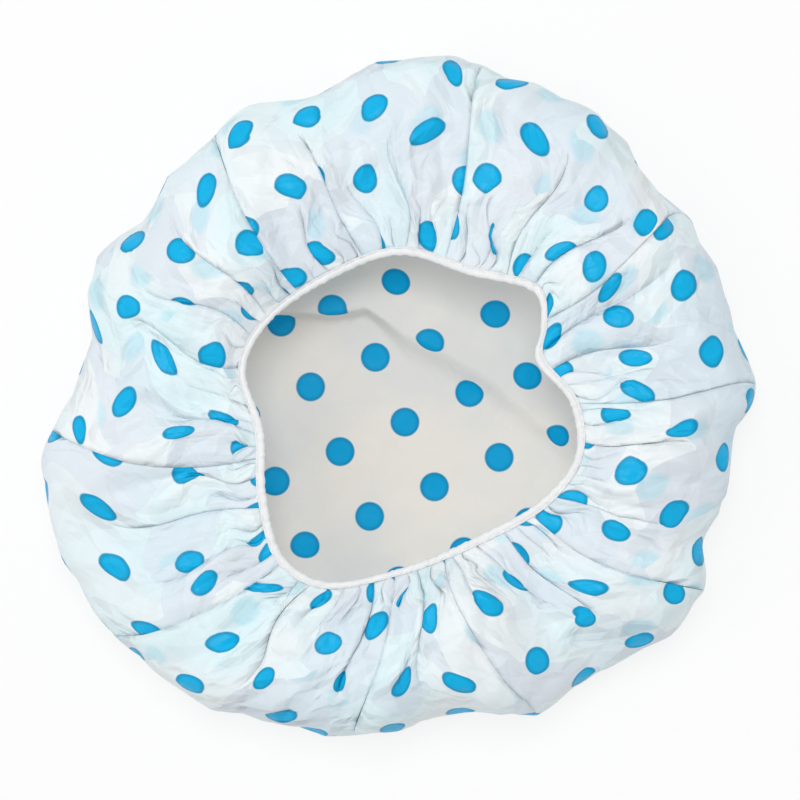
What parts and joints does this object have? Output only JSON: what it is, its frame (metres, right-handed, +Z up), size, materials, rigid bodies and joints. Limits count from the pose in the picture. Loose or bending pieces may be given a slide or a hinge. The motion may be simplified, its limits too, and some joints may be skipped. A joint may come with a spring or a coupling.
{
  "type": "shower cap",
  "caption": "Gathered waterproof film cap with an elastic hem in a plain binding, lying open side up; keeps hair dry under the shower.",
  "frame": {"origin": "middle of the cap in plan, on the surface that its crown lies on", "axes": "+Z up out of the mouth, +X along the cap's longest span in plan, as the picture shows it from above with +Y up the picture"},
  "size_m": [0.2872, 0.2695, 0.0576],
  "materials": {
    "film": "soft gloss, printed with sky-blue dots",
    "binding": "plain white, smooth",
    "elastic": "off-white, matte",
    "thread": "white sewing thread"
  },
  "bodies": {
    "root": {"cap_film": "film", "hem_binding": "binding", "elastic_band": "elastic", "elastic_whipping": "thread", "needle_thread": "thread", "bobbin_thread": "thread"}
  },
  "joints": []
}
